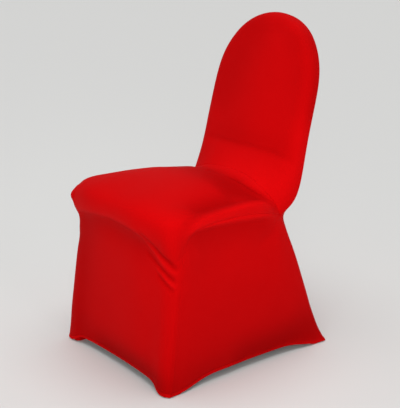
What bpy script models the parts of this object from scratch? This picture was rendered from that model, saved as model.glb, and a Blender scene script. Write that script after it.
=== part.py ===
"""Stretch cover for a round-back banquet chair, in the shape it has when it is worn.

The outer skin is laid out first as one shell of patches that share their seams.
The shell is then cut into the sewn panels, and each panel gets the cloth's thickness
inwards along the shell's own normals, so that the panels meet in mitred seams.
Metres, +Z up, the front faces -Y, and the feet stand on z = 0.
"""

import math
from collections import namedtuple

import bmesh
import bpy
from mathutils import Vector
from mathutils.geometry import intersect_point_line, interpolate_bezier

# Cloth
CLOTH = 0.0014
SEAM_PULL = 0.00016
HEM_HEIGHT = 0.0215
HEM_CLEARANCE = 0.0025

# Feet: where the leg seams reach the floor, and how far the hem dips to them
FRONT_FOOT = Vector((0.2365, -0.2405, 0.0))
REAR_FOOT = Vector((0.2460, 0.3170, 0.0))
DIP_FADE_HEIGHT = 0.10
DIP_ALONG_FRONT = (0.030, 0.072)
DIP_ALONG_SIDE = (0.020, 0.150)
SIDE_BOW = 0.006

# Backrest: the front plane y = BACK_Y0 + BACK_SLOPE * z, its half width and its top
BACK_Y0 = 0.0585
BACK_SLOPE = 0.261
BACK_HALF_WIDTH = 0.1955
BACK_TOP_Z = 0.921
BACK_CROWN = 0.005
RIM_DEPTH = 0.046
SEAM_INSET = 0.003
REAR_DEPTH = 0.0520
RIM_WIDTH = 0.045
ARCH_CORNER = math.radians(45.0)

# Cells of the shared grids
HALF_COLUMNS = (3, 5, 6)
CORE_CELLS = 16
RIM_CELLS = 6
REAR_RIM_CELLS = 3
ARCH_CELLS = 4
BRIDGE_ROWS = 6
SMOOTHING = 2

# The middle of the cover's footprint becomes y = 0
CENTRE_Y = 0.0433

RED = (0.62, 0.004, 0.008, 1.0)

# Half sections of the seat and the apron, from the front hem to the crease
# under the backrest. seam is where the side panel starts, edge the outermost
# bulge beside it, quarter a point half way in (all x, y, z), mid the centre
# line (y, z), and cells the number of grid rows up to the next section.
Section = namedtuple("Section", "seam edge quarter mid cells")
SEAT_SECTIONS = (
    Section((0.2365, -0.2405, 0.0215), (0.228, -0.2475, 0.0215), (0.165, -0.245, 0.0215), (-0.24, 0.0215), 3),
    Section((0.235, -0.233, 0.06), (0.2275, -0.241, 0.06), (0.155, -0.241, 0.066), (-0.2365, 0.07), 2),
    Section((0.2336, -0.225, 0.12), (0.2265, -0.2335, 0.12), (0.15, -0.236, 0.129), (-0.2335, 0.134), 2),
    Section((0.2312, -0.2165, 0.19), (0.224, -0.225, 0.19), (0.15, -0.231, 0.202), (-0.231, 0.209), 2),
    Section((0.228, -0.208, 0.26), (0.2205, -0.217, 0.26), (0.145, -0.2275, 0.275), (-0.2295, 0.284), 6),
    Section((0.225, -0.198, 0.315), (0.2175, -0.209, 0.314), (0.14, -0.2265, 0.332), (-0.2295, 0.344), 4),
    Section((0.2235, -0.1935, 0.352), (0.2165, -0.2085, 0.351), (0.14, -0.229, 0.369), (-0.232, 0.382), 3),
    Section((0.225, -0.191, 0.388), (0.2215, -0.216, 0.386), (0.142, -0.238, 0.4), (-0.24, 0.41), 1),
    Section((0.2275, -0.184, 0.409), (0.2265, -0.221, 0.409), (0.142, -0.248, 0.419), (-0.25, 0.427), 1),
    Section((0.2275, -0.168, 0.4215), (0.2285, -0.218, 0.434), (0.14, -0.255, 0.443), (-0.2565, 0.448), 2),
    Section((0.224, -0.14, 0.4285), (0.2225, -0.189, 0.462), (0.135, -0.241, 0.473), (-0.245, 0.475), 2),
    Section((0.217, -0.084, 0.432), (0.213, -0.113, 0.461), (0.13, -0.192, 0.488), (-0.198, 0.494), 3),
    Section((0.211, 0.006, 0.43), (0.207, -0.008, 0.456), (0.125, -0.06, 0.494), (-0.06, 0.506), 2),
    Section((0.208, 0.07, 0.424), (0.203, 0.064, 0.453), (0.12, 0.04, 0.488), (0.05, 0.501), 2),
    Section((0.203, 0.12, 0.413), (0.198, 0.116, 0.439), (0.12, 0.108, 0.476), (0.118, 0.49), 1),
    Section((0.196, 0.145, 0.4045), (0.19, 0.142, 0.421), (0.12, 0.14, 0.468), (0.146, 0.484), 1),
    Section((0.19, 0.166, 0.394), (0.18, 0.164, 0.416), (0.122, 0.162, 0.46), (0.164, 0.48), 0),
)
SHOULDER = 7

# Half sections of the rear skirt, from the rear hem to the pinch beside the seat
SKIRT_SECTIONS = (
    Section((0.246, 0.317, 0.0215), (0.236, 0.3255, 0.0215), (0.16, 0.324, 0.0215), (0.319, 0.0215), 5),
    Section((0.2385, 0.2765, 0.084), (0.228, 0.287, 0.084), (0.15, 0.297, 0.088), (0.2985, 0.092), 5),
    Section((0.2295, 0.235, 0.191), (0.2185, 0.247, 0.191), (0.14, 0.266, 0.197), (0.271, 0.201), 5),
    Section((0.2155, 0.199, 0.299), (0.205, 0.211, 0.297), (0.135, 0.241, 0.299), (0.25, 0.303), 4),
    Section((0.205, 0.179, 0.358), (0.195, 0.192, 0.35), (0.13, 0.227, 0.35), (0.242, 0.354), 3),
    Section((0.19, 0.166, 0.394), (0.1825, 0.187, 0.384), (0.13, 0.222, 0.396), (0.24, 0.405), 0),
)
SKIRT_COLUMNS = (1, 4, 6)

# Rows up the straight side of the backrest: the height of the front face, the height
# of the rear face, and the point of the rim seam that belongs to the row
BackRow = namedtuple("BackRow", "front_z rear_z seam")
BACK_ROWS = (
    BackRow(0.446, 0.396, (0.19, 0.166, 0.394)),
    BackRow(0.47, 0.423, (0.196, 0.186, 0.401)),
    BackRow(0.494, 0.45, (0.1995, 0.206, 0.413)),
    BackRow(0.518, 0.477, (0.2005, 0.223, 0.432)),
    BackRow(0.542, 0.505, (0.2005, 0.235, 0.459)),
    BackRow(0.568, 0.534, (0.1995, 0.243, 0.496)),
    BackRow(0.598, 0.566, (0.198, 0.2505, 0.537)),
    BackRow(0.63, 0.601, (0.196, 0.259, 0.58)),
    BackRow(0.664, 0.64, (0.1955, 0.2695, 0.626)),
    BackRow(0.699, 0.681, (0.195, 0.281, 0.673)),
    BackRow(0.732, 0.72, (0.1945, 0.293, 0.719)),
)

# Main folds of the worn cloth: a soft ridge (or, with a negative rise, a trough)
# along the line from start to end
Fold = namedtuple("Fold", "start end width rise")
FOLDS = (
    Fold((0.11, -0.232, 0.404), (0.224, -0.196, 0.363), 0.0085, -0.004),
    Fold((0.12, -0.232, 0.386), (0.222, -0.198, 0.345), 0.008, 0.0032),
    Fold((0.14, -0.232, 0.371), (0.224, -0.198, 0.331), 0.0075, -0.003),
    Fold((0.165, -0.23, 0.346), (0.226, -0.202, 0.306), 0.008, 0.0026),
    Fold((0.185, -0.228, 0.322), (0.228, -0.205, 0.288), 0.008, -0.002),
    Fold((-0.225, -0.196, 0.345), (-0.15, -0.23, 0.392), 0.011, -0.003),
    Fold((-0.228, -0.2, 0.315), (-0.178, -0.228, 0.352), 0.01, 0.0018),
    Fold((-0.16, 0.206, 0.565), (0.17, 0.206, 0.56), 0.016, -0.0025),
    Fold((0.188, 0.17, 0.4), (0.15, 0.168, 0.452), 0.01, -0.003),
    Fold((-0.188, 0.17, 0.4), (-0.14, 0.168, 0.456), 0.011, -0.0025),
    Fold((0.205, 0.165, 0.385), (0.225, 0.06, 0.33), 0.014, -0.0025),
    Fold((-0.205, 0.165, 0.385), (-0.226, 0.075, 0.315), 0.015, -0.0022),
    Fold((0.192, 0.182, 0.392), (0.12, 0.232, 0.35), 0.014, -0.003),
    Fold((-0.192, 0.182, 0.392), (-0.105, 0.234, 0.338), 0.015, -0.0027),
    Fold((0.165, -0.06, 0.474), (0.16, 0.11, 0.456), 0.022, -0.0045),
    Fold((-0.165, -0.04, 0.474), (-0.16, 0.11, 0.456), 0.022, -0.0035),
    Fold((0.208, -0.217, 0.4), (0.218, -0.206, 0.35), 0.026, 0.006),
    Fold((0.124, 0.317, 0.882), (0.14, 0.318, 0.868), 0.007, 0.003),
)

# Foot pockets: outer size of a cup, and how its walls lean with the leg
POCKET_HEIGHT = 0.026
POCKET_WALL = 0.0015
POCKET_ROUND = 0.013
Pocket = namedtuple("Pocket", "x y size_x size_y lean_x lean_y")
POCKETS = {
    "front": Pocket(0.2100, -0.2197, 0.048, 0.050, -0.03, 0.13),
    "rear": Pocket(0.2167, 0.2944, 0.050, 0.052, -0.09, -0.58),
}


def vector(values):
    """A 3-D point from (x, y, z), or from (y, z) on the centre line."""
    return Vector(values) if len(values) == 3 else Vector((0.0, *values))


def mirrored(point):
    return Vector((-point.x, point.y, point.z))


def ease(value, low, high):
    """Smooth step from 0 at low to 1 at high."""
    t = min(1.0, max(0.0, (value - low) / (high - low)))
    return t * t * (3.0 - 2.0 * t)


def soft_line(knots, cells):
    """Points on a soft curve through the knots, with cells[i] steps in span i."""
    spans = [b - a for a, b in zip(knots, knots[1:])]
    slopes = [spans[0].normalized()]
    for before, after in zip(spans, spans[1:]):
        slope = before.normalized() * after.length + after.normalized() * before.length
        slopes.append(slope.normalized())
    slopes.append(spans[-1].normalized())
    points = [knots[0].copy()]
    for i, count in enumerate(cells):
        reach = spans[i].length / 3.0
        near, far = knots[i], knots[i + 1]
        points += interpolate_bezier(
            near, near + slopes[i] * reach, far - slopes[i + 1] * reach, far, count + 1
        )[1:]
    return points


def sections_patch(sections, half_columns):
    """A grid of points across the cover, one row for each step along the sections."""
    rows = [section.cells for section in sections[:-1]]
    lines = [
        soft_line([vector(getattr(section, name)) for section in sections], rows)
        for name in ("seam", "edge", "quarter", "mid")
    ]
    columns = half_columns + half_columns[::-1]
    patch = []
    for seam, edge, quarter, mid in zip(*lines):
        half = [mirrored(seam), mirrored(edge), mirrored(quarter)]
        patch.append(soft_line(half + [mid, quarter, edge, seam], columns))
    return patch


def coons_patch(bottom, top, left, right):
    """A grid between four edge lines that share their corners."""
    last_row, last_column = len(left) - 1, len(bottom) - 1
    patch = []
    for i, (start, end) in enumerate(zip(left, right)):
        t = i / last_row
        row = []
        for j, (low, high) in enumerate(zip(bottom, top)):
            s = j / last_column
            corners = (bottom[0] * (1 - s) + bottom[-1] * s) * (1 - t)
            corners += (top[0] * (1 - s) + top[-1] * s) * t
            row.append(low * (1 - t) + high * t + start * (1 - s) + end * s - corners)
        patch.append(row)
    return patch


def side_patch(seat, skirt):
    """The side panel between the two leg seams, under the seat's side."""
    shoulder_row = sum(section.cells for section in SEAT_SECTIONS[:SHOULDER])
    front = [row[-1] for row in seat[: shoulder_row + 1]]
    top = [row[-1] for row in seat[shoulder_row:]]
    rear = [row[-1] for row in skirt]
    count = len(top) - 1
    bottom = []
    for j in range(count + 1):
        s = j / count
        point = front[0].lerp(rear[0], s)
        point.x -= SIDE_BOW * math.sin(math.pi * s)
        bottom.append(point)
    return coons_patch(bottom, top, front, rear)


def back_plane_y(z, depth):
    """y of the backrest at height z, depth behind its front plane."""
    return BACK_Y0 + BACK_SLOPE * z + depth * math.hypot(1.0, BACK_SLOPE)


def arch_point(angle, inset, depth):
    """A point over the backrest's round top, inset from its outline."""
    tilt = 1.0 / math.hypot(1.0, BACK_SLOPE)
    centre_z = BACK_TOP_Z - BACK_HALF_WIDTH * tilt
    radius = BACK_HALF_WIDTH - inset
    x = radius * math.cos(angle)
    z = centre_z + radius * math.sin(angle) * tilt
    y = back_plane_y(z, 0.0) + depth * tilt
    return Vector((x, y, z - depth * BACK_SLOPE * tilt))


def arch_angles():
    """Angles of the grid lines that end on the round top, from right to left."""
    rise = [ARCH_CORNER * i / ARCH_CELLS for i in range(1, ARCH_CELLS + 1)]
    span = math.pi - 2.0 * ARCH_CORNER
    over = [ARCH_CORNER + span * i / CORE_CELLS for i in range(1, CORE_CELLS)]
    return rise + over + [math.pi - angle for angle in reversed(rise)]


def core_boundary(bottom_point, heights, inset, depth):
    """Right edge of the flat face: straight rows, then the rise round the arch."""
    points = [bottom_point.copy()]
    width = BACK_HALF_WIDTH - inset
    for i, z in enumerate(heights[1:], start=1):
        x = bottom_point.x + (width - bottom_point.x) * ease(i, 0, BRIDGE_ROWS)
        points.append(Vector((x, back_plane_y(z, depth), z)))
    points += [arch_point(angle, inset, depth) for angle in arch_angles()[:ARCH_CELLS]]
    return points


def bridged(patch, bottom_row):
    """Let a flat patch run out of its plane to meet the row below it."""
    shift = [point.y - flat.y for point, flat in zip(bottom_row, patch[0])]
    for i, row in enumerate(patch):
        share = max(0.0, 1.0 - i / BRIDGE_ROWS) ** 1.3
        for j, point in enumerate(row):
            point.y += shift[j] * share
    patch[0] = [point.copy() for point in bottom_row]
    return patch


def back_core(bottom_row, heights, inset, depth, crown):
    """The flat face of the backrest, under its arch, as a grid of points."""
    right = core_boundary(bottom_row[-1], heights, inset, depth)
    left = [mirrored(point) for point in right]
    span = math.pi - 2.0 * ARCH_CORNER
    angles = [ARCH_CORNER + span * i / CORE_CELLS for i in range(CORE_CELLS, -1, -1)]
    top = [arch_point(angle, inset, depth) for angle in angles]
    flat_bottom = [Vector((p.x, back_plane_y(p.z, depth), p.z)) for p in bottom_row]
    left[0], right[0] = flat_bottom[0].copy(), flat_bottom[-1].copy()
    patch = coons_patch(flat_bottom, top, left, right)
    last_row = len(patch) - 1
    for i, row in enumerate(patch):
        for j, point in enumerate(row):
            across = math.sin(math.pi * j / CORE_CELLS)
            along = math.sin(math.pi * min(1.0, 0.15 + 0.85 * i / last_row))
            point.y -= crown * across * along
    return bridged(patch, bottom_row)


def ring_rim(core, seam, bottom_right, profile, cells):
    """Grid from the flat face's edge, over the rounded rim, to the rim seam."""
    edge = [row[-1] for row in core] + core[-1][-2:0:-1] + [row[0] for row in core[::-1]]
    lift, reach = profile
    rows = []
    for base, end, out, back in zip(edge, seam, outward(), rearward()):
        near = base + out * lift[0] + back * lift[1]
        far = end + out * reach[0] + back * reach[1]
        rows.append(interpolate_bezier(base, near, far, end, cells + 1))
    count = len(rows)
    for k, point in enumerate(bottom_right):
        shift = point - rows[0][k]
        for i in range(BRIDGE_ROWS):
            share = (1.0 - i / BRIDGE_ROWS) ** 2
            rows[i][k] = rows[i][k] + shift * share
            rows[count - 1 - i][k] = rows[count - 1 - i][k] + mirrored(shift) * share
    return rows


def outward():
    """Directions out of the backrest's outline, from the right base to the left base."""
    straight = len(BACK_ROWS)
    right = [Vector((1.0, 0.0, 0.0))] * straight
    tilt = 1.0 / math.hypot(1.0, BACK_SLOPE)
    over = []
    for angle in arch_angles():
        rise = math.sin(angle) * tilt
        over.append(Vector((math.cos(angle), BACK_SLOPE * rise, rise)))
    return right + over + [mirrored(point) for point in right]


def rearward():
    """Directions to the rear at the same places, level where the cloth is bridged."""
    tilt = 1.0 / math.hypot(1.0, BACK_SLOPE)
    straight = []
    for i in range(len(BACK_ROWS)):
        drop = BACK_SLOPE + 0.9 * max(0.0, 1.0 - i / BRIDGE_ROWS)
        straight.append(Vector((0.0, 1.0, -drop)).normalized())
    over = [Vector((0.0, tilt, -BACK_SLOPE * tilt))] * len(arch_angles())
    return straight + over + straight[::-1]


def rim_seam():
    """The seam on the rear edge of the rim, from one pinch over the top to the other."""
    right = [Vector(row.seam) for row in BACK_ROWS]
    over = [arch_point(angle, SEAM_INSET, RIM_DEPTH) for angle in arch_angles()]
    return right + over + [mirrored(point) for point in right[::-1]]


def patches():
    """Every patch of the outer skin, with the name of the panel that it belongs to."""
    seat = sections_patch(SEAT_SECTIONS, HALF_COLUMNS)
    skirt = sections_patch(SKIRT_SECTIONS, SKIRT_COLUMNS)
    right = side_patch(seat, skirt)
    left = [[mirrored(point) for point in row] for row in right]
    seam = rim_seam()
    crease, waist = seat[-1], skirt[-1]
    face = back_core(
        crease[RIM_CELLS:-RIM_CELLS], [row.front_z for row in BACK_ROWS], RIM_WIDTH, 0.0, BACK_CROWN
    )
    rim = ring_rim(
        face, seam, crease[-RIM_CELLS - 1 :], ((0.038, -0.001), (0.003, -0.030)), RIM_CELLS
    )
    rear = back_core(
        waist[REAR_RIM_CELLS:-REAR_RIM_CELLS],
        [row.rear_z for row in BACK_ROWS],
        RIM_WIDTH,
        REAR_DEPTH,
        0.0,
    )
    rear_rim = ring_rim(
        rear, seam, waist[-REAR_RIM_CELLS - 1 :], ((0.026, 0.000), (-0.001, 0.006)), REAR_RIM_CELLS
    )
    return (
        ("seat_apron", seat),
        ("side_panel_right", right),
        ("side_panel_left", left),
        ("backrest_front", face),
        ("backrest_front", rim),
        ("back_panel", skirt),
        ("back_panel", rear),
        ("back_panel", rear_rim),
    )


PANELS = ("seat_apron", "side_panel_right", "side_panel_left", "backrest_front", "back_panel")


def fold_rise(point):
    """How far the folds lift the cloth at a point of the skin."""
    total = 0.0
    for fold in FOLDS:
        start, end = Vector(fold.start), Vector(fold.end)
        nearest, share = intersect_point_line(point, start, end)
        share = min(1.0, max(0.0, share))
        nearest = start.lerp(end, share)
        distance = (point - nearest).length / fold.width
        taper = math.sin(math.pi * (0.12 + 0.76 * share))
        total += fold.rise * taper * math.exp(-distance * distance)
    return total


def hem_dip(point):
    """How far the hem is pulled down to the nearest foot."""
    foot = FRONT_FOOT if point.y < 0.0 else REAR_FOOT
    across = 1.0 - ease(foot.x - abs(point.x), *DIP_ALONG_FRONT)
    along = 1.0 - ease(abs(point.y - foot.y) - abs(point.z - HEM_HEIGHT) * 0.5, *DIP_ALONG_SIDE)
    fade = 1.0 - ease(point.z, HEM_HEIGHT, DIP_FADE_HEIGHT)
    return (HEM_HEIGHT - HEM_CLEARANCE) * across * along * fade


def build_shell():
    """The whole outer skin as one welded mesh; a face's material index is its panel."""
    shell = bmesh.new()
    for name, patch in patches():
        grid = bmesh.ops.create_grid(
            shell, x_segments=len(patch[0]) - 1, y_segments=len(patch) - 1, size=1.0
        )
        points = [point for row in patch for point in row]
        for vertex, point in zip(grid["verts"], points):
            vertex.co = point
        for face in {face for vertex in grid["verts"] for face in vertex.link_faces}:
            face.material_index = PANELS.index(name)
    bmesh.ops.remove_doubles(shell, verts=shell.verts[:], dist=0.00005)
    bmesh.ops.recalc_face_normals(shell, faces=shell.faces[:])
    inner = [vertex for vertex in shell.verts if not vertex.is_boundary]
    for _ in range(SMOOTHING):
        bmesh.ops.smooth_vert(
            shell, verts=inner, factor=0.5, use_axis_x=True, use_axis_y=True, use_axis_z=True
        )
    shell.normal_update()
    for vertex in shell.verts:
        rise = fold_rise(vertex.co)
        dip = hem_dip(vertex.co)
        vertex.co += vertex.normal * rise
        vertex.co.z -= dip
        vertex.co.y -= CENTRE_Y
    shell.normal_update()
    inwards = shell.verts.layers.float_vector.new("inwards")
    for vertex in shell.verts:
        vertex[inwards] = -vertex.normal
    return shell


def cut_panel(shell, index):
    """One sewn panel: its share of the skin, drawn back from its seams and thickened."""
    panel = shell.copy()
    others = [face for face in panel.faces if face.material_index != index]
    bmesh.ops.delete(panel, geom=others, context="FACES")
    rim = bmesh.ops.inset_region(
        panel, faces=panel.faces[:], thickness=SEAM_PULL, use_boundary=True, use_even_offset=True
    )
    bmesh.ops.delete(panel, geom=rim["faces"], context="FACES")
    inwards = panel.verts.layers.float_vector["inwards"]
    skin = bmesh.ops.extrude_face_region(panel, geom=panel.faces[:], use_keep_orig=True)
    for vertex in skin["geom"]:
        if isinstance(vertex, bmesh.types.BMVert):
            vertex.co += vertex[inwards] * CLOTH
    bmesh.ops.recalc_face_normals(panel, faces=panel.faces[:])
    for face in panel.faces:
        face.material_index = 0
        face.smooth = True
    return panel


def build_pocket(row, side):
    """An open cup for a foot, with a flat sole and walls that lean with the leg."""
    cup = bmesh.new()
    bmesh.ops.create_cube(cup, size=1.0)
    bmesh.ops.scale(cup, vec=(row.size_x, row.size_y, POCKET_HEIGHT), verts=cup.verts[:])
    bmesh.ops.translate(cup, vec=(0.0, 0.0, POCKET_HEIGHT / 2.0), verts=cup.verts[:])
    upright = [edge for edge in cup.edges if abs(edge.verts[0].co.z - edge.verts[1].co.z) > 0.01]
    bmesh.ops.bevel(
        cup, geom=upright, offset=POCKET_ROUND, segments=5, profile=0.5, affect="EDGES", material=-1
    )
    mouth = max(cup.faces, key=lambda face: face.calc_center_median().z)
    bmesh.ops.inset_region(cup, faces=[mouth], thickness=POCKET_WALL, use_even_offset=True)
    well = bmesh.ops.extrude_face_region(cup, geom=[mouth])
    sunk = [item for item in well["geom"] if isinstance(item, bmesh.types.BMVert)]
    bmesh.ops.translate(cup, vec=(0.0, 0.0, POCKET_WALL - POCKET_HEIGHT), verts=sunk)
    bmesh.ops.delete(cup, geom=[mouth], context="FACES")
    for vertex in cup.verts:
        vertex.co.x += row.lean_x * vertex.co.z
        vertex.co.y += row.lean_y * vertex.co.z
    bmesh.ops.translate(cup, vec=(row.x, row.y - CENTRE_Y, 0.0), verts=cup.verts[:])
    if side < 0:
        bmesh.ops.scale(cup, vec=(-1.0, 1.0, 1.0), verts=cup.verts[:])
    bmesh.ops.recalc_face_normals(cup, faces=cup.faces[:])
    return cup


def red_cloth():
    """Knitted polyester and elastane, dyed red, with a faint sheen."""
    material = bpy.data.materials.new("red_stretch_cloth")
    material.use_nodes = True
    shader = material.node_tree.nodes["Principled BSDF"]
    shader.inputs["Base Color"].default_value = RED
    shader.inputs["Roughness"].default_value = 0.62
    shader.inputs["Metallic"].default_value = 0.0
    return material


def add_object(name, mesh_data, material, collection):
    """Turn a bmesh into a named object in the cover's collection."""
    mesh = bpy.data.meshes.new(name)
    mesh_data.to_mesh(mesh)
    mesh_data.free()
    mesh.materials.append(material)
    item = bpy.data.objects.new(name, mesh)
    collection.objects.link(item)
    return item


def main():
    for item in list(bpy.data.objects):
        bpy.data.objects.remove(item)
    collection = bpy.data.collections.new("chair_cover")
    bpy.context.scene.collection.children.link(collection)
    material = red_cloth()
    shell = build_shell()
    for index, name in enumerate(PANELS):
        add_object(name, cut_panel(shell, index), material, collection)
    shell.free()
    for end, row in POCKETS.items():
        for side, word in ((1, "right"), (-1, "left")):
            cup = build_pocket(row, side)
            add_object(f"foot_pocket_{end}_{word}", cup, material, collection)


main()
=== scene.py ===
# %% [markdown]
# # A stretch cover for a banquet chair
# The object is one red cover of knitted polyester and elastane. Five panels are
# sewn into a tight hollow skin: an apron that runs up over the seat, two side
# panels, the face of the backrest with its rim, and a long back panel. Four small
# pockets inside the corners hook over the feet and hold it down.
# The solid model already has the true shape and size. This lesson dresses it: each
# panel becomes a thin soft sheet with turned seams, a stitched hem, soft forms, folds
# and a knitted finish.

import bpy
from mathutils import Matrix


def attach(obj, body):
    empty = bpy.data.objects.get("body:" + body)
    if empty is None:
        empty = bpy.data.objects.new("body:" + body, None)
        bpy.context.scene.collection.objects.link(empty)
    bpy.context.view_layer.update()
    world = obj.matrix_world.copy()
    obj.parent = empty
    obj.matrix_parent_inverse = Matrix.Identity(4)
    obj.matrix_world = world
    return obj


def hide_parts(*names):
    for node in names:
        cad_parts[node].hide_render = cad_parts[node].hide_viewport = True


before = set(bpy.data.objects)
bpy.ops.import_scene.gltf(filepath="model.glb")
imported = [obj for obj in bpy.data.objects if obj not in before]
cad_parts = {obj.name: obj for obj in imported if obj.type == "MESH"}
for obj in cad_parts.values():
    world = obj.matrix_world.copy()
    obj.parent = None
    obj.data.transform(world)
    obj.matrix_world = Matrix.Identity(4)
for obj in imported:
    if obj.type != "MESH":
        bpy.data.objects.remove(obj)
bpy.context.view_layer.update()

# %% Tools of the lesson
import math
from collections import namedtuple

import bmesh
import bpy
from mathutils import Matrix, Vector, noise
from mathutils.geometry import intersect_point_line
from mathutils.kdtree import KDTree

MM = 0.001

# %% [markdown]
# ## The camera
# The photograph looks down at the cover from its front right corner. The place and
# the angles were found by fitting the cover's outline to the photograph. The focal
# length is known in pixels of the 400 x 408 picture, so it is turned into the
# millimetres that Blender wants for its 36 mm sensor.

# %% Camera
PHOTO_SIZE = (400, 408)
FOCAL_PIXELS = 925.5
SENSOR_MM = 36.0
CAMERA_PLACE = Vector((1.8809, -1.5611, 1.1510))
CAMERA_AZIMUTH = math.radians(50.262)
CAMERA_DIP = math.radians(17.037)
CAMERA_ROLL = math.radians(0.812)

lens = bpy.data.cameras.new("photo_camera")
lens.sensor_width = SENSOR_MM
lens.lens = FOCAL_PIXELS * SENSOR_MM / max(PHOTO_SIZE)
camera = bpy.data.objects.new("photo_camera", lens)
turn = Matrix.Rotation(CAMERA_AZIMUTH, 4, "Z") @ Matrix.Rotation(math.pi / 2 - CAMERA_DIP, 4, "X")
camera.matrix_world = Matrix.Translation(CAMERA_PLACE) @ turn @ Matrix.Rotation(CAMERA_ROLL, 4, "Z")
bpy.context.scene.collection.objects.link(camera)
bpy.context.scene.camera = camera
print("lens", round(lens.lens, 2), "mm")

# %% [markdown]
# ## From a solid panel to a sheet
# On the real cover a panel is one layer of knit, about a millimetre thick. It could
# be drawn anew as a grid, but then it would stray from the true shape, which the solid
# model has. A panel of that model is a closed plate, 1.4 mm thick, made of loose
# triangles. So a copy of it is welded, the thin wall round its rim is taken off, and of
# the two skins that are left the outer one is kept. It is the one that lies farther
# from a point well on the panel's inner side. The rim wall is easy to find: only there
# is an edge exactly as long as the plate is thick. The same short edges say which way
# is inwards at a seam, and that is kept for later in a layer of the mesh. Each step is
# tried on the right side panel first, and later done on all five.

# %% Find the outer skin
WELD = 0.02 * MM
PLATE = 1.4 * MM
PLATE_TOLERANCE = 0.05 * MM
INNER_POINTS = {
    "seat_apron": (0.0, 0.0, 0.25),
    "side_panel_left": (0.0, 0.0, 0.2),
    "side_panel_right": (0.0, 0.0, 0.2),
    "backrest_front": (0.0, 0.4, 0.65),
    "back_panel": (0.0, 0.0, 0.4),
}


def is_plate_edge(edge):
    return abs(edge.calc_length() - PLATE) < PLATE_TOLERANCE


def islands(sheet):
    """Groups of faces that hang together."""
    left = set(sheet.faces)
    groups = []
    while left:
        group = [left.pop()]
        for face in group:
            touching = {other for edge in face.edges for other in edge.link_faces}
            group += touching & left
            left -= touching
        groups.append(group)
    return groups


def distance_from(point, faces):
    """Mean distance of the faces from a point."""
    return sum((face.calc_center_median() - point).length for face in faces) / len(faces)


def outer_skin(node):
    """The outer face of a CAD panel, found by its distance from the inner point."""
    inner_point = Vector(INNER_POINTS[node])
    sheet = bmesh.new()
    sheet.from_mesh(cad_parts[node].data)
    bmesh.ops.remove_doubles(sheet, verts=sheet.verts[:], dist=WELD)
    inwards = sheet.verts.layers.float_vector.new("inwards")
    sheet.normal_update()
    for vertex in sheet.verts:
        vertex[inwards] = -vertex.normal
    for edge in filter(is_plate_edge, sheet.edges):
        first, last = edge.verts
        first[inwards] = (last.co - first.co).normalized()
        last[inwards] = (first.co - last.co).normalized()
    rim = [face for face in sheet.faces if any(map(is_plate_edge, face.edges))]
    bmesh.ops.delete(sheet, geom=rim, context="FACES")
    skins = sorted(islands(sheet), key=lambda skin: distance_from(inner_point, skin))
    bmesh.ops.delete(sheet, geom=[face for skin in skins[:-1] for face in skin], context="FACES")
    return sheet


trial = outer_skin("side_panel_right")
print("one side panel as a skin:", len(trial.faces), "faces")

# %% [markdown]
# Subdivision is smoothest on four-sided faces, so pairs of triangles are joined
# back into quads. topology_influence tells the operator to prefer pairs that carry
# on a regular grid.

# %% Back to quads
FLATNESS = math.radians(40.0)
SQUARENESS = math.radians(60.0)
REGULARITY = 2.0


def join_quads(sheet):
    bmesh.ops.join_triangles(
        sheet,
        faces=sheet.faces[:],
        angle_face_threshold=FLATNESS,
        angle_shape_threshold=SQUARENESS,
        topology_influence=REGULARITY,
    )
    sheet.normal_update()
    return sum(len(face.verts) == 3 for face in sheet.faces)


print("triangles left in it:", join_quads(trial))

# %% [markdown]
# ## The hem
# A hem is the cloth's own edge, turned up on the inside and sewn down. It shows as
# a soft band, 9 mm high, with a shallow groove above it where the stitches pull. The
# stitches themselves are too fine for the mesh and are left to the material.
# A hem edge lies low and runs nearly level, while a leg seam is steep, and that
# tells the two kinds of border apart. The first row of the grid above the hem
# becomes the stitch row, and a narrow bevel gives it the rows that a groove needs.

# %% The stitched row above the hem
HEM_BAND = 9.0 * MM
HEM_REACH = 30.0 * MM
HEM_STEEPEST = 0.62
HEM_SWELL = 0.7 * MM
GROOVE_HALF = 1.0 * MM
GROOVE_DEPTH = 0.7 * MM


def is_hem(edge):
    low = max(vertex.co.z for vertex in edge.verts) < HEM_REACH
    rise = abs(edge.verts[0].co.z - edge.verts[1].co.z)
    return edge.is_boundary and low and rise < HEM_STEEPEST * edge.calc_length()


def climb(edge, vertex):
    """How steeply an edge leads up from one of its ends."""
    return (edge.other_vert(vertex).co.z - vertex.co.z) / edge.calc_length()


def stitch_hem(sheet):
    """Give the hem its band and its groove."""
    inwards = sheet.verts.layers.float_vector["inwards"]
    upwards = sheet.verts.layers.float_vector.new("upwards")
    hem = sheet.verts.layers.float.new("hem")
    stitch = sheet.verts.layers.float.new("stitch")
    low = {vertex for edge in sheet.edges if is_hem(edge) for vertex in edge.verts}
    row = set()
    for vertex in low:
        rising = [edge for edge in vertex.link_edges if edge.other_vert(vertex) not in low]
        above = max(rising, key=lambda edge: climb(edge, vertex)).other_vert(vertex)
        vertex[upwards] = (above.co - vertex.co).normalized()
        above[upwards] = vertex[upwards]
        above.co = vertex.co + vertex[upwards] * HEM_BAND
        row.add(above)
    line = [edge for edge in sheet.edges if row.issuperset(edge.verts)]
    made = bmesh.ops.bevel(
        sheet,
        geom=line,
        offset=GROOVE_HALF,
        segments=2,
        profile=0.5,
        affect="EDGES",
        material=-1,
    )
    strip = set(made["faces"])
    for vertex in made["verts"]:
        if strip.issuperset(vertex.link_faces):
            vertex[stitch] = 1.0
            vertex.co += vertex[inwards] * GROOVE_DEPTH
    for vertex in low:
        vertex[hem] = 1.0
        vertex.co -= vertex[inwards] * HEM_SWELL
    return len(line)


print("steps along its hem:", stitch_hem(trial))

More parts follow.
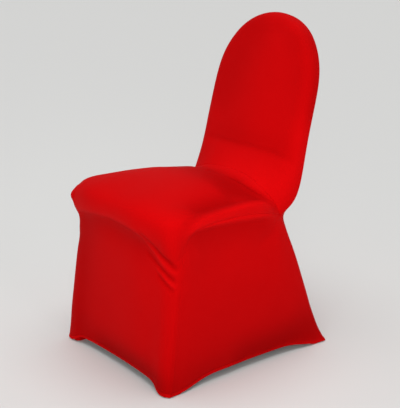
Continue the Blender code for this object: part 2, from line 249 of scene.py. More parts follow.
# %% [markdown]
# ## Seams
# Where two panels are sewn together, both edges turn inwards and lie against each
# other. A line in the material would do from far away, but light falls into a real
# seam. So each border gets a narrow holding loop beside it, and is then extruded
# inwards as the seam allowance. The first step of the allowance also leans outwards a
# little, so that the two edges press together, and subdivision then rounds them into
# the small soft groove of a real seam. Where a border turns sharply a crease keeps its
# corner pointed, or a hole would open where four panels meet. At the hem the border
# goes under and up again instead, as the second layer of the folded edge.

# %% Turn the borders in
HOLDING_LOOP = 0.6 * MM
ALLOWANCE = ((0.45 * MM, 0.2 * MM), (5.0 * MM, 0.0))
CORNER_TURN = math.radians(35.0)
PLY_GAP = 1.9 * MM
PLY_HEIGHT = 8.4 * MM


def extend(sheet, border, shift):
    """Extrude a border, move its new vertices by shift(vertex), and give the new border."""
    made = bmesh.ops.extrude_edge_only(sheet, edges=border)["geom"]
    fresh = {item for item in made if isinstance(item, bmesh.types.BMVert)}
    for vertex in fresh:
        vertex.co += shift(vertex)
    edges = [item for item in made if isinstance(item, bmesh.types.BMEdge)]
    return [edge for edge in edges if fresh.issuperset(edge.verts)]


def mark_corners(sheet):
    """Note the vertices where the border turns sharply."""
    corner = sheet.verts.layers.float.new("corner")
    for vertex in sheet.verts:
        ways = [edge.other_vert(vertex).co - vertex.co for edge in vertex.link_edges if edge.is_boundary]
        if len(ways) == 2 and ways[0].angle(-ways[1]) > CORNER_TURN:
            vertex[corner] = 1.0


def crease_corners(sheet):
    """Keep a corner pointed where panels meet, so that no hole opens there."""
    corner = sheet.verts.layers.float["corner"]
    crease = sheet.edges.layers.float.new("crease_edge")
    for edge in sheet.edges:
        if all(vertex[corner] > 0.5 for vertex in edge.verts):
            edge[crease] = 1.0


def note_outwards(sheet, border):
    """Remember which way leads off the panel, in its own surface."""
    outwards = sheet.verts.layers.float_vector.new("outwards")
    rim = {vertex for edge in border for vertex in edge.verts}
    for vertex in rim:
        inner = [edge.other_vert(vertex) for edge in vertex.link_edges if not edge.is_boundary]
        away = sum((vertex.co - other.co for other in inner), Vector())
        vertex[outwards] = away.normalized()
    return outwards


def turn_borders(sheet):
    """Fold the hem up and turn the seam allowances in."""
    inwards = sheet.verts.layers.float_vector["inwards"]
    upwards = sheet.verts.layers.float_vector["upwards"]
    seam = sheet.verts.layers.float.new("seam")
    mark_corners(sheet)
    bmesh.ops.inset_region(
        sheet,
        faces=sheet.faces[:],
        thickness=HOLDING_LOOP,
        use_boundary=True,
        use_even_offset=True,
    )
    border = [edge for edge in sheet.edges if edge.is_boundary]
    hem = [edge for edge in border if is_hem(edge)]
    seams = [edge for edge in border if not is_hem(edge)]
    for vertex in {vertex for edge in seams for vertex in edge.verts}:
        vertex[seam] = 1.0
    outwards = note_outwards(sheet, border)
    for depth, splay in ALLOWANCE:
        seams = extend(sheet, seams, lambda vertex: vertex[inwards] * depth + vertex[outwards] * splay)
    half = PLY_GAP / 2
    hem = extend(sheet, hem, lambda vertex: vertex[inwards] * half - vertex[upwards] * half)
    hem = extend(sheet, hem, lambda vertex: vertex[inwards] * half + vertex[upwards] * half)
    for _ in range(2):
        hem = extend(sheet, hem, lambda vertex: vertex[upwards] * PLY_HEIGHT / 2)
    crease_corners(sheet)
    return len(border)


print("edges round it:", turn_borders(trial), "and", len(trial.faces), "faces now")
trial.free()

# %% [markdown]
# ## Laying the pattern flat
# The knit runs along the cloth. Tied to the world's axes it would smear wherever a
# panel curves away. Unwrapping does what a pattern cutter does: it lays the panel
# flat. The map is then scaled to metres and turned so that V runs up the panel, and
# the knit can be written in real sizes. A panel is unwrapped in one piece, and a
# closed cup such as a foot pocket in several.

# %% Unwrap a panel in metres
CUP_ANGLE = math.radians(66.0)


def flat_area(mesh, layer):
    """Area of the UV map, by the shoelace rule."""
    total = 0.0
    for face in mesh.polygons:
        corners = [layer.data[i].uv for i in face.loop_indices]
        for a, b in zip(corners, corners[1:] + corners[:1]):
            total += (a.x * b.y - b.x * a.y) / 2
    return abs(total)


def lay_flat(item, in_pieces=False):
    """Map a panel as one piece, or a closed cup as several."""
    bpy.context.view_layer.objects.active = item
    item.select_set(True)
    bpy.ops.object.mode_set(mode="EDIT")
    bpy.ops.mesh.select_all(action="SELECT")
    if in_pieces:
        bpy.ops.uv.smart_project(angle_limit=CUP_ANGLE, island_margin=0.0)
    else:
        bpy.ops.uv.unwrap(method="ANGLE_BASED", margin=0.0)
    bpy.ops.object.mode_set(mode="OBJECT")
    item.select_set(False)
    mesh = item.data
    layer = mesh.uv_layers.active
    layer.name = "flat_pattern"
    scale = math.sqrt(sum(face.area for face in mesh.polygons) / flat_area(mesh, layer))
    points = [(mesh.vertices[loop.vertex_index].co, layer.data[loop.index].uv) for loop in mesh.loops]
    lowest = min(points, key=lambda pair: pair[0].z + abs(pair[0].x))[1]
    highest = max(points, key=lambda pair: pair[0].z - abs(pair[0].x))[1]
    up = (highest - lowest).normalized()
    for corner in layer.data:
        u, v = corner.uv * scale
        corner.uv = (u * up.y - v * up.x, u * up.x + v * up.y)


# %% [markdown]
# ## Soft forms and fine folds
# The solid model holds the main shape. The soft forms on it are the rolled edge of the
# seat cushion, the valley beside it, the crease in front of the backrest, the lip of
# the seat nose, and the slanting folds that the front right leg pulls into the apron.
# A cloth simulation would find folds of its own, and not those of the photograph, so
# they are placed one by one. Each form is a path in metres, named below.

# %% Paths of the soft forms
SEAT_SEAM = (
    (0.225, -0.236, 0.352),
    (0.227, -0.235, 0.392),
    (0.228, -0.223, 0.418),
    (0.225, -0.196, 0.430),
    (0.218, -0.129, 0.428),
    (0.213, -0.040, 0.421),
    (0.209, 0.045, 0.413),
    (0.200, 0.101, 0.396),
)
SEAT_RIDGE = (
    (0.228, -0.229, 0.406),
    (0.227, -0.217, 0.426),
    (0.224, -0.196, 0.439),
    (0.219, -0.170, 0.447),
    (0.212, -0.105, 0.449),
    (0.205, -0.007, 0.449),
    (0.199, 0.056, 0.440),
    (0.194, 0.100, 0.415),
)
SEAT_VALLEY = (
    (0.214, -0.200, 0.455),
    (0.203, -0.150, 0.463),
    (0.196, -0.090, 0.466),
    (0.190, -0.020, 0.466),
    (0.182, 0.040, 0.461),
    (0.168, 0.090, 0.448),
    (0.156, 0.116, 0.446),
)
BACK_SEAM = (
    (-0.181, 0.118, 0.421),
    (-0.148, 0.116, 0.452),
    (-0.083, 0.116, 0.479),
    (0.0, 0.118, 0.486),
    (0.083, 0.116, 0.479),
    (0.148, 0.116, 0.452),
    (0.181, 0.118, 0.421),
)
BACK_CREASE = (
    (-0.150, 0.080, 0.452),
    (-0.060, 0.050, 0.488),
    (0.007, 0.046, 0.496),
    (0.060, 0.050, 0.490),
    (0.097, 0.066, 0.481),
    (0.135, 0.090, 0.463),
    (0.155, 0.100, 0.450),
    (0.180, 0.104, 0.430),
)
NOSE_LIP = (
    (-0.205, -0.262, 0.390),
    (-0.169, -0.280, 0.403),
    (-0.081, -0.288, 0.418),
    (-0.011, -0.288, 0.424),
    (0.057, -0.288, 0.421),
    (0.096, -0.284, 0.415),
    (0.140, -0.277, 0.402),
    (0.175, -0.268, 0.381),
)
BRIDGE = (
    (-0.185, 0.166, 0.540),
    (-0.165, 0.163, 0.549),
    (-0.073, 0.153, 0.553),
    (0.033, 0.153, 0.556),
    (0.129, 0.157, 0.552),
    (0.181, 0.167, 0.540),
    (0.195, 0.180, 0.530),
)
VALLEY_MOUTH = (
    (0.219, -0.240, 0.445),
    (0.212, -0.200, 0.455),
    (0.203, -0.150, 0.462),
    (0.190, -0.020, 0.466),
)
APRON_CORNER = (
    (-0.12, -0.285, 0.02),
    (0.06, -0.285, 0.03),
    (0.15, -0.288, 0.03),
    (0.20, -0.290, 0.02),
    (0.26, -0.290, 0.01),
)
BACK_LOW = (
    (-0.06, 0.130, 0.50),
    (0.06, 0.130, 0.505),
    (0.14, 0.137, 0.495),
    (0.20, 0.150, 0.47),
    (0.22, 0.17, 0.44),
)
SEAT_REAR = ((-0.18, 0.03, 0.475), (-0.08, 0.01, 0.490), (0.05, 0.00, 0.492), (0.17, 0.02, 0.475))
SEAT_DIP = ((0.150, -0.060, 0.474), (0.152, 0.010, 0.470), (0.156, 0.060, 0.460), (0.158, 0.105, 0.447))
APRON_LEFT = ((-0.185, -0.275, 0.40), (-0.180, -0.272, 0.22), (-0.185, -0.290, 0.01))
APRON_MIDDLE = ((0.06, -0.272, 0.38), (0.06, -0.272, 0.20), (0.05, -0.282, 0.02))
SIDE_WAIST = ((0.228, -0.215, 0.34), (0.224, -0.05, 0.345), (0.216, 0.10, 0.33))
SIDE_HEM = ((0.237, -0.230, 0.008), (0.235, -0.10, 0.020), (0.236, 0.06, 0.022), (0.240, 0.22, 0.012))
SIDE_FOOT = ((0.237, -0.290, 0.002), (0.235, -0.10, 0.020), (0.236, 0.06, 0.022), (0.240, 0.28, 0.006))
SIDE_REAR = ((0.234, -0.08, 0.02), (0.236, 0.10, 0.04), (0.238, 0.18, 0.06), (0.240, 0.30, 0.06))
FRONT_HEM = ((-0.19, -0.289, 0.015), (-0.07, -0.285, 0.026), (0.07, -0.285, 0.025), (0.19, -0.289, 0.012))
FRONT_FOOT = ((-0.27, -0.295, 0.006), (-0.07, -0.285, 0.026), (0.07, -0.285, 0.025), (0.27, -0.295, 0.006))
REAR_HEM = ((-0.20, 0.295, 0.012), (-0.07, 0.290, 0.022), (0.07, 0.290, 0.022), (0.20, 0.295, 0.012))
RIM_LOW = ((0.205, 0.175, 0.48), (0.206, 0.195, 0.56), (0.206, 0.215, 0.68))
RIM_TOP = ((0.203, 0.22, 0.60), (0.203, 0.24, 0.70), (0.180, 0.26, 0.82), (0.10, 0.27, 0.89))
BACK_TOP = ((-0.16, 0.17, 0.62), (-0.12, 0.20, 0.74), (-0.08, 0.22, 0.84), (0.0, 0.23, 0.90))
BACK_MIDDLE = ((0.02, 0.155, 0.54), (0.02, 0.180, 0.66), (0.01, 0.215, 0.86))
KNOB = ((-0.216, -0.258, 0.430), (-0.205, -0.270, 0.432), (-0.185, -0.283, 0.430))
KNOB_WAIST = ((-0.228, -0.240, 0.385), (-0.215, -0.256, 0.383), (-0.190, -0.266, 0.384))
KNOB_NOTCH = ((-0.214, -0.245, 0.462), (-0.198, -0.262, 0.464), (-0.175, -0.272, 0.464))
LEG_FOLDS = (
    ((0.118, -0.293, 0.418), (0.133, -0.287, 0.404), (0.173, -0.275, 0.371), (0.203, -0.265, 0.353),
     (0.222, -0.247, 0.328)),
    ((0.120, -0.285, 0.396), (0.184, -0.267, 0.349), (0.223, -0.247, 0.318)),
    ((0.125, -0.276, 0.364), (0.177, -0.270, 0.333), (0.221, -0.251, 0.300)),
    ((0.160, -0.273, 0.331), (0.184, -0.270, 0.316), (0.222, -0.252, 0.283)),
    ((0.164, -0.273, 0.317), (0.183, -0.270, 0.303), (0.221, -0.254, 0.274)),
)
print(len(LEG_FOLDS), "slanting folds at the front right leg")

# %% [markdown]
# A row of the table lays one form on its path. Its rise is negative for a trough. It
# fades over one width on the side that "towards" points to and over another width on
# the other side, because real folds have a steep flank and a long one. A form that
# crosses a seam is pushed in one fixed direction, so that both panels move alike and
# the seam stays closed. The tone of a row is painted light and shade in the dye: plus
# paints a highlight on ridges, rolled edges and faces that the lamps catch, and minus
# paints shade in valleys, creases, on the apron's left and towards the hem. A row with
# no rise only paints this light and shade. Forms given to both_sides lie on the right
# and, weaker by the share called left, on the left too. The other rows lie in one place
# only.

# %% Table of folds
Fold = namedtuple("Fold", "path push rise tone towards width_there width_here")
NORMAL = None
OUT = (1.0, 0.0, 0.0)
FRONT = (0.0, -1.0, 0.0)
UP = (0.0, 0.0, 1.0)
INWARDS = (-1.0, 0.0, 0.3)
FRONT_LEFT = (-0.7, -0.7, 0.0)
FORWARDS_UP = (0.0, -0.9, 0.2)


def mirrored(path):
    return tuple((-x, y, z) for x, y, z in path)


def lowered(path, drop):
    return tuple((x, y, z - drop) for x, y, z in path)


def both_sides(path, push, rise, tone, towards, width_there, width_here, left=0.9):
    """The same form on the right and, a little weaker, on the left."""
    flip = [None if way is None else (-way[0], way[1], way[2]) for way in (push, towards)]
    return [
        Fold(path, push, rise, tone, towards, width_there, width_here),
        Fold(mirrored(path), flip[0], rise * left, tone * left, flip[1], width_there, width_here),
    ]


# In each row the tone after the rise is painted light and shade: plus is a painted highlight, minus is
# painted shade. Rows with no rise, such as SIDE_FOOT, FRONT_FOOT, APRON_CORNER, APRON_LEFT, BACK_TOP and
# RIM_TOP, only paint shade, and BACK_LOW and RIM_LOW only paint a highlight.
FOLDS = [
    *both_sides(SEAT_SEAM[1:], OUT, 5.0 * MM, 0.45, UP, 18 * MM, 6 * MM),
    *both_sides(lowered(SEAT_SEAM[1:], 12 * MM), OUT, 0.0, -0.50, UP, 7 * MM, 45 * MM),
    *both_sides(SEAT_RIDGE[1:], NORMAL, 3.6 * MM, 0.25, INWARDS, 7 * MM, 20 * MM),
    *both_sides(SEAT_RIDGE[4:], NORMAL, 2.4 * MM, 0.20, INWARDS, 7 * MM, 14 * MM),
    *both_sides(SEAT_VALLEY, NORMAL, -12.0 * MM, -0.65, INWARDS, 42 * MM, 12 * MM, left=0.25),
    *both_sides(VALLEY_MOUTH, NORMAL, -1.0 * MM, -0.40, INWARDS, 40 * MM, 12 * MM, left=0.3),
    Fold(SEAT_REAR, NORMAL, -2.0 * MM, -0.80, UP, 60 * MM, 60 * MM),
    *both_sides(SEAT_DIP, NORMAL, -5.0 * MM, -0.45, INWARDS, 70 * MM, 26 * MM, left=0.3),
    *both_sides(SIDE_WAIST, OUT, -4.5 * MM, 0.0, UP, 50 * MM, 100 * MM),
    *both_sides(SIDE_HEM, OUT, -6.0 * MM, 0.0, UP, 42 * MM, 30 * MM),
    *both_sides(SIDE_FOOT, OUT, 0.0, -0.48, UP, 70 * MM, 30 * MM),
    Fold(SIDE_REAR, OUT, -3.0 * MM, -0.55, UP, 60 * MM, 60 * MM),
    Fold(FRONT_HEM, FRONT, -6.0 * MM, 0.0, UP, 42 * MM, 30 * MM),
    Fold(FRONT_FOOT, FRONT, 0.0, -0.45, UP, 60 * MM, 30 * MM),
    Fold(APRON_CORNER, FRONT, 0.0, -0.75, UP, 36 * MM, 36 * MM),
    Fold(REAR_HEM, FRONT, 6.0 * MM, -0.70, UP, 60 * MM, 30 * MM),
    Fold(BACK_SEAM, FORWARDS_UP, 11.0 * MM, 0.35, UP, 55 * MM, 14 * MM),
    Fold(BACK_LOW, FRONT, 0.0, 0.24, UP, 45 * MM, 60 * MM),
    Fold(RIM_LOW, NORMAL, 0.0, 0.15, FRONT, 35 * MM, 35 * MM),
    Fold(RIM_TOP, NORMAL, 0.0, -0.48, FRONT, 50 * MM, 50 * MM),
    Fold(BACK_CREASE, NORMAL, -4.0 * MM, -0.30, UP, 14 * MM, 34 * MM),
    Fold(BACK_CREASE[3:], NORMAL, -4.5 * MM, -0.70, UP, 6 * MM, 14 * MM),
    Fold(NOSE_LIP, FRONT, 8.0 * MM, 0.30, UP, 34 * MM, 10 * MM),
    Fold(lowered(NOSE_LIP, 17 * MM), FRONT, -1.5 * MM, -0.50, UP, 7 * MM, 45 * MM),
    Fold(APRON_MIDDLE, FRONT, 8.0 * MM, 0.10, FRONT, 130 * MM, 130 * MM),
    Fold(APRON_LEFT, FRONT, 0.0, -0.55, FRONT, 60 * MM, 60 * MM),
    Fold(BACK_MIDDLE, FRONT, 6.0 * MM, 0.0, FRONT, 95 * MM, 95 * MM),
    Fold(BACK_TOP, FRONT, 0.0, -0.40, FRONT, 85 * MM, 85 * MM),
    Fold(BRIDGE, NORMAL, -3.0 * MM, -0.18, UP, 40 * MM, 18 * MM),
    Fold(BRIDGE, NORMAL, -1.3 * MM, -0.35, UP, 6 * MM, 9 * MM),
    Fold(KNOB, FRONT_LEFT, 9.0 * MM, 0.0, UP, 11 * MM, 13 * MM),
    Fold(KNOB_WAIST, FRONT_LEFT, -5.0 * MM, -0.35, UP, 14 * MM, 22 * MM),
    Fold(KNOB_NOTCH, NORMAL, -6.0 * MM, -0.30, UP, 9 * MM, 8 * MM),
    Fold(LEG_FOLDS[0], NORMAL, -3.4 * MM, -0.90, UP, 7 * MM, 6 * MM),
    Fold(LEG_FOLDS[1], NORMAL, 2.6 * MM, 0.70, UP, 6 * MM, 6 * MM),
    Fold(LEG_FOLDS[2], NORMAL, -3.0 * MM, -0.85, UP, 6 * MM, 6 * MM),
    Fold(LEG_FOLDS[3], NORMAL, 2.4 * MM, 0.70, UP, 6 * MM, 5 * MM),
    Fold(LEG_FOLDS[4], NORMAL, -2.4 * MM, -0.70, UP, 6 * MM, 6 * MM),
]
print(len(FOLDS), "soft forms and folds")

# %% [markdown]
# The table is laid on the fine skin. A form counts in full on its path, fades like a
# bell across it until nothing is left at 2.6 widths, and tapers off over a fifth of
# its length at both ends. Two things are added that no hand can place: small puckers
# beside the seams, where the thread pulls, and a slow drift of half a millimetre. Close
# to a seam every rise along the normal is held back, so that neighbours still meet. The
# folded edge of the hem gets a painted highlight, a little lighter than the cloth above it.

# %% How far a point rises
SEAM_FADE = 5.0 * MM
PUCKER_HEIGHT = 0.35 * MM
PUCKER_LENGTH = 9.0 * MM
PUCKER_REACH = 14.0 * MM
DRIFT_HEIGHT = 0.5 * MM
DRIFT_LENGTH = 70.0 * MM
TAPER_SHARE = 0.22
FAR = 2.6
# Painted highlight along the folded hem edge.
HEM_PAINTED_HIGHLIGHT = 0.8


def tree_of(points):
    tree = KDTree(len(points))
    for i, point in enumerate(points):
        tree.insert(point, i)
    tree.balance()
    return tree


def nearest_on_path(point, path):
    """The nearest point of a path, and its share of the path's length."""
    best = None
    walked = 0.0
    for start, end in zip(path, path[1:]):
        share = min(1.0, max(0.0, intersect_point_line(point, start, end)[1]))
        foot = start.lerp(end, share)
        length = (end - start).length
        if best is None or (point - foot).length < best[0]:
            best = ((point - foot).length, foot, walked + share * length)
        walked += length
    return best[1], best[2] / walked


class Route:
    """A fold with its path as vectors and a ball that holds all that it can reach."""

    def __init__(self, fold):
        self.fold = fold
        self.path = [Vector(point) for point in fold.path]
        self.towards = Vector(fold.towards)
        self.push = None if fold.push is None else Vector(fold.push)
        self.middle = sum(self.path, Vector()) / len(self.path)
        spread = max((point - self.middle).length for point in self.path)
        self.reach = spread + FAR * max(fold.width_there, fold.width_here)

    def strength_at(self, point):
        """From 0 far away to 1 on the path."""
        if (point - self.middle).length > self.reach:
            return 0.0
        foot, share = nearest_on_path(point, self.path)
        away = point - foot
        width = self.fold.width_there if away.dot(self.towards) > 0.0 else self.fold.width_here
        distance = away.length / width
        if distance > FAR:
            return 0.0
        taper = min(1.0, share / TAPER_SHARE, (1.0 - share) / TAPER_SHARE)
        return math.exp(-distance * distance) * math.sin(taper * math.pi / 2)


routes = [Route(fold) for fold in FOLDS]
print("the longest reach of a form is", round(max(route.reach for route in routes), 3), "m")


def shape_folds(sheet):
    """Move the fine skin by its soft forms, folds, puckers and slow drift, and paint light and shade."""
    seam = sheet.verts.layers.float["seam"]
    hem = sheet.verts.layers.float["hem"]
    tone = sheet.verts.layers.float.new("tone")
    edge_points = [vertex.co.copy() for vertex in sheet.verts if vertex[seam] > 0.5]
    tree = tree_of(edge_points)
    sheet.normal_update()
    moves = []
    for vertex in sheet.verts:
        nearest, _, distance = tree.find(vertex.co)
        hold = min(1.0, distance / SEAM_FADE) * (1.0 - min(1.0, vertex[seam]))
        pucker = noise.noise(nearest / PUCKER_LENGTH) * math.exp(-((distance / PUCKER_REACH) ** 2))
        drift = noise.noise(vertex.co / DRIFT_LENGTH)
        rise = PUCKER_HEIGHT * pucker + DRIFT_HEIGHT * drift
        push = Vector()
        # The hem edge starts with a painted highlight, and each fold then adds its painted light and
        # shade.
        vertex[tone] = HEM_PAINTED_HIGHLIGHT * vertex[hem]
        for route in routes:
            strength = route.strength_at(vertex.co)
            vertex[tone] += route.fold.tone * strength
            if route.push is None:
                rise += route.fold.rise * strength
            else:
                push += route.push * (route.fold.rise * strength)
        moves.append(push + vertex.normal * rise * hold)
    for vertex, move in zip(sheet.verts, moves):
        vertex.co += move


# %% [markdown]
# ## The knitted finish
# The cloth is a fine warp knit, dyed a strong clear red. Each loop is about a
# millimetre, too fine for the mesh, so it is bump on the flat pattern. An image of
# cloth would repeat, and blur from near. The dye drifts a little from place to
# place. The tone that the folds left in the mesh paints light and shade into the
# colour: a lighter red for painted highlights and a deeper red for painted shade. The
# stitches of the hem are short dark dashes in the groove. Gloss and fuzz are low and
# have the colour of the dye, because the photograph shows no white highlight anywhere.
# Blender's wave texture makes one rib in 0.314 of its own units, a tenth of pi, and so
# its scale is that over the pitch.

# %% Material
RED = (0.50, 0.0016, 0.0022, 1.0)
RED_DRIFT = (0.46, 0.0013, 0.0019, 1.0)
RED_PAINTED_SHADE = (0.33, 0.0008, 0.0012, 1.0)
# The next two reds paint light and shade: a lighter red for painted highlights and a darker red for
# painted shade.
RED_PAINTED_HIGHLIGHT = (0.62, 0.0024, 0.0032, 1.0)
RED_STITCH = (0.24, 0.0006, 0.0010, 1.0)
STITCH = 3.6 * MM
WALE = 1.1 * MM
COURSE = 0.9 * MM
WAVE_PERIOD = 0.314159
RIB_WAVER = 0.6
DYE_SCALE = 9.0
DYE_DETAIL = 3.0
BUMP_STRENGTH = 0.35
BUMP_HEIGHT = 0.12 * MM
ROUGHNESS = 0.68
GLOSS = 0.03
GLOSS_TINT = (1.0, 0.02, 0.02, 1.0)
FUZZ = 0.12
FUZZ_ROUGHNESS = 0.5
FUZZ_TINT = (1.0, 0.01, 0.015, 1.0)


def link(tree, source, target, socket):
    tree.links.new(source, target.inputs[socket])


def wave(tree, pattern, direction, pitch):
    """Rounded ribs, one every pitch metres along U (X) or V (Y)."""
    node = tree.nodes.new("ShaderNodeTexWave")
    node.wave_type = "BANDS"
    node.bands_direction = direction
    node.wave_profile = "SIN"
    node.inputs["Scale"].default_value = WAVE_PERIOD / pitch
    node.inputs["Distortion"].default_value = RIB_WAVER
    node.inputs["Detail"].default_value = 0.0
    link(tree, pattern.outputs["UV"], node, "Vector")
    return node.outputs["Fac"]


def math_node(tree, operation, first, second):
    node = tree.nodes.new("ShaderNodeMath")
    node.operation = operation
    for socket, value in zip(node.inputs, (first, second)):
        if isinstance(value, float):
            socket.default_value = value
        else:
            tree.links.new(value, socket)
    return node.outputs["Value"]


def mix_colour(tree, share, first, second):
    node = tree.nodes.new("ShaderNodeMix")
    node.data_type = "RGBA"
    tree.links.new(share, node.inputs[0])
    for socket, value in ((node.inputs[6], first), (node.inputs[7], second)):
        if isinstance(value, tuple):
            socket.default_value = value
        else:
            tree.links.new(value, socket)
    return node.outputs[2]


def attribute(tree, name):
    node = tree.nodes.new("ShaderNodeAttribute")
    node.attribute_name = name
    return node.outputs["Fac"]


def knitted_red():
    material = bpy.data.materials.new("red_stretch_knit")
    material.use_nodes = True
    tree = material.node_tree
    shader = tree.nodes["Principled BSDF"]
    pattern = tree.nodes.new("ShaderNodeUVMap")
    pattern.uv_map = "flat_pattern"
    drift = tree.nodes.new("ShaderNodeTexNoise")
    drift.inputs["Scale"].default_value = DYE_SCALE
    drift.inputs["Detail"].default_value = DYE_DETAIL
    link(tree, pattern.outputs["UV"], drift, "Vector")
    even = mix_colour(tree, drift.outputs["Fac"], RED, RED_DRIFT)
    # The tone layer paints light and shade: above zero it mixes in the painted-highlight red, below zero
    # the painted-shade red.
    tone = attribute(tree, "tone")
    red_with_highlight = mix_colour(tree, math_node(tree, "MAXIMUM", tone, 0.0), even, RED_PAINTED_HIGHLIGHT)
    painted_shade_share = math_node(tree, "MAXIMUM", math_node(tree, "MULTIPLY", tone, -1.0), 0.0)
    red_with_light_and_shade = mix_colour(tree, painted_shade_share, red_with_highlight, RED_PAINTED_SHADE)
    stitches = math_node(tree, "MULTIPLY", attribute(tree, "stitch"), wave(tree, pattern, "X", STITCH))
    colour = mix_colour(tree, stitches, red_with_light_and_shade, RED_STITCH)
    tree.links.new(colour, shader.inputs["Base Color"])
    ribs = math_node(tree, "MULTIPLY", wave(tree, pattern, "X", WALE), wave(tree, pattern, "Y", COURSE))
    bump = tree.nodes.new("ShaderNodeBump")
    bump.inputs["Strength"].default_value = BUMP_STRENGTH
    bump.inputs["Distance"].default_value = BUMP_HEIGHT
    tree.links.new(math_node(tree, "SUBTRACT", ribs, stitches), bump.inputs["Height"])
    tree.links.new(bump.outputs["Normal"], shader.inputs["Normal"])
    shader.inputs["Roughness"].default_value = ROUGHNESS
    shader.inputs["Specular IOR Level"].default_value = GLOSS
    shader.inputs["Specular Tint"].default_value = GLOSS_TINT
    shader.inputs["Sheen Weight"].default_value = FUZZ
    shader.inputs["Sheen Roughness"].default_value = FUZZ_ROUGHNESS
    shader.inputs["Sheen Tint"].default_value = FUZZ_TINT
    return material


red_cloth = knitted_red()
print("material", red_cloth.name, "with", len(red_cloth.node_tree.nodes), "nodes")

# %% [markdown]
# ## Making the panels
# The steps come together in one function. The skin gets its hem and its seams while
# it is coarse, where a few faces are easy to move. Then it is laid flat, subdivided
# twice, and given its soft forms and folds at the fine scale. A Solidify modifier gives
# it the cloth's thickness on the inner side.

# %% Sew a panel
CLOTH = 0.9 * MM
LEVELS = 2


def new_piece(name, shape):
    """An object with the mesh of a finished bmesh, which is then let go."""
    mesh = bpy.data.meshes.new(name)
    shape.to_mesh(mesh)
    shape.free()
    item = bpy.data.objects.new(name, mesh)
    bpy.context.scene.collection.objects.link(item)
    return item


def stands_for(item, node):
    """The piece rides on the root body and takes the node's place."""
    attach(item, "root")
    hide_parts(node)


def subdivided(item):
    """The object's mesh after two steps of subdivision, corners kept."""
    modifier = item.modifiers.new("Subdivision", "SUBSURF")
    modifier.levels = LEVELS
    modifier.render_levels = LEVELS
    modifier.boundary_smooth = "PRESERVE_CORNERS"
    graph = bpy.context.evaluated_depsgraph_get()
    fine = bpy.data.meshes.new_from_object(item.evaluated_get(graph))
    item.modifiers.remove(modifier)
    return fine


def fold(item):
    """Lay the soft forms and the fine folds on the subdivided mesh."""
    fine = bmesh.new()
    fine.from_mesh(item.data)
    shape_folds(fine)
    fine.to_mesh(item.data)
    fine.free()


def sew_panel(node):
    """From the solid panel to the finished sheet of cloth."""
    sheet = outer_skin(node)
    leftover = join_quads(sheet)
    stitches = stitch_hem(sheet)
    turn_borders(sheet)
    item = new_piece(node + "_cloth", sheet)
    lay_flat(item)
    item.data = subdivided(item)
    fold(item)
    item.data.shade_smooth()
    item.data.materials.clear()
    item.data.materials.append(red_cloth)
    wall = item.modifiers.new("Thickness", "SOLIDIFY")
    wall.thickness = CLOTH
    wall.offset = -1.0
    stands_for(item, node)
    print(node, len(item.data.polygons), "faces,", leftover, "triangles,", stitches, "hem steps")
    return item


# %% All five panels
panels = {node: sew_panel(node) for node in INNER_POINTS}

# %% [markdown]
# ## Foot pockets
# Each pocket is a cup of the same cloth. A foot stands in it, and so the pocket holds
# the cover down. It hardly shows, so it needs no skin of its own: the solid cup is
# copied and welded, and its sharp edges are rounded as a stretched knit rounds them.
# Its tone and stitch layers stay at zero, but the material looks for them.

# %% Pockets
POCKET_NODES = [f"foot_pocket_{end}_{side}" for end in ("front", "rear") for side in ("left", "right")]
POCKET_EDGE = math.radians(50.0)
POCKET_ROUNDING = 0.5 * MM


def sew_pocket(node):
    """From the solid cup to a cup of cloth with rounded edges."""
    cup = bmesh.new()
    cup.from_mesh(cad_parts[node].data)
    bmesh.ops.remove_doubles(cup, verts=cup.verts[:], dist=WELD)
    join_quads(cup)
    for name in ("tone", "stitch"):
        cup.verts.layers.float.new(name)
    sharp = [edge for edge in cup.edges if edge.calc_face_angle(0.0) > POCKET_EDGE]
    bmesh.ops.bevel(
        cup,
        geom=sharp,
        offset=POCKET_ROUNDING,
        segments=2,
        profile=0.5,
        affect="EDGES",
        material=-1,
    )
    item = new_piece(node + "_cloth", cup)
    lay_flat(item, in_pieces=True)
    item.data.shade_smooth()
    item.data.materials.append(red_cloth)
    stands_for(item, node)
    print(node, len(item.data.polygons), "faces")
    return item


pockets = {node: sew_pocket(node) for node in POCKET_NODES}

# %% [markdown]
# ## The sheets of cloth
# A stretch cover is cut about a tenth smaller than what it covers, and the tension that
# comes from that keeps it smooth. Here the sheets are only counted.

# %% Count the sheets
print(len(panels) + len(pockets), "sheets of cloth declared")

# %% [markdown]
# ## Floor and light
# Seen from the camera, a wide pale floor fills the picture up to its top edge. So no
# backdrop is needed, and the cover can be looked at from all sides.

# %% Stage
FLOOR_HALF = 40.0
FLOOR_Z = -0.3 * MM
FLOOR_GREY = (0.66, 0.66, 0.65, 1.0)
FLOOR_ROUGHNESS = 0.9

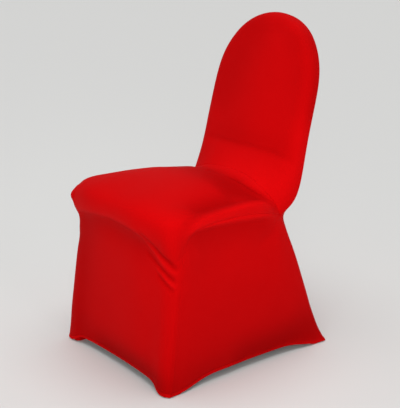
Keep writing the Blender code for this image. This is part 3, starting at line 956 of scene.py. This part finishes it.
ground = bmesh.new()
bmesh.ops.create_grid(ground, x_segments=1, y_segments=1, size=FLOOR_HALF)
bmesh.ops.translate(ground, vec=(0.0, 0.0, FLOOR_Z), verts=ground.verts[:])
floor = new_piece("floor", ground)
paint = bpy.data.materials.new("pale_floor")
paint.use_nodes = True
paint.node_tree.nodes["Principled BSDF"].inputs["Base Color"].default_value = FLOOR_GREY
paint.node_tree.nodes["Principled BSDF"].inputs["Roughness"].default_value = FLOOR_ROUGHNESS
floor.data.materials.append(paint)
print("floor", 2 * FLOOR_HALF, "m wide")

# %% [markdown]
# The light is soft and comes from four places: a wide sun overhead, a wide panel in
# front, a round lamp beside the camera, and a weaker round lamp on the right, which the
# backrest's rim and the seat's rolled edge catch. The cones of the round lamps are
# aimed at the seat and the backrest, so the cover darkens softly towards the hem, as in
# the photograph. A white sky fills in the rest. The size of a lamp is the width of the
# sun or of a cone in degrees, or the side of the panel in metres.

# %% Lights
Lamp = namedtuple("Lamp", "name kind place target power size")
LAMPS = (
    Lamp("overhead", "SUN", (0.0, 0.0, 5.0), (0.0, 0.0, 0.0), 1.8, 60.0),
    Lamp("front_panel", "AREA", (1.95, -2.34, 1.00), (0.0, 0.0, 0.42), 31.0, 1.6),
    Lamp("key", "SPOT", (1.84, -1.54, 1.20), (0.0, 0.0, 0.68), 98.0, 36.0),
    Lamp("right", "SPOT", (2.36, -0.30, 1.30), (0.05, 0.05, 0.55), 42.0, 30.0),
)
LAMP_RADIUS = 0.4
SKY_WHITE = (1.0, 1.0, 1.0, 1.0)
SKY_STRENGTH = 0.42


def hang_lamp(row):
    data = bpy.data.lights.new(row.name, row.kind)
    data.energy = row.power
    if row.kind == "SUN":
        data.angle = math.radians(row.size)
    elif row.kind == "SPOT":
        data.spot_size = math.radians(row.size)
        data.spot_blend = 1.0
        data.shadow_soft_size = LAMP_RADIUS
    else:
        data.size = row.size
    lamp = bpy.data.objects.new(row.name, data)
    lamp.location = row.place
    aim = Vector(row.target) - Vector(row.place)
    lamp.rotation_euler = aim.to_track_quat("-Z", "Y").to_euler()
    bpy.context.scene.collection.objects.link(lamp)


for row in LAMPS:
    hang_lamp(row)

world = bpy.data.worlds.new("studio")
world.use_nodes = True
world.node_tree.nodes["Background"].inputs["Color"].default_value = SKY_WHITE
world.node_tree.nodes["Background"].inputs["Strength"].default_value = SKY_STRENGTH
bpy.context.scene.world = world
bpy.context.scene.view_settings.view_transform = "Standard"
print(len(LAMPS), "lamps and an even sky")
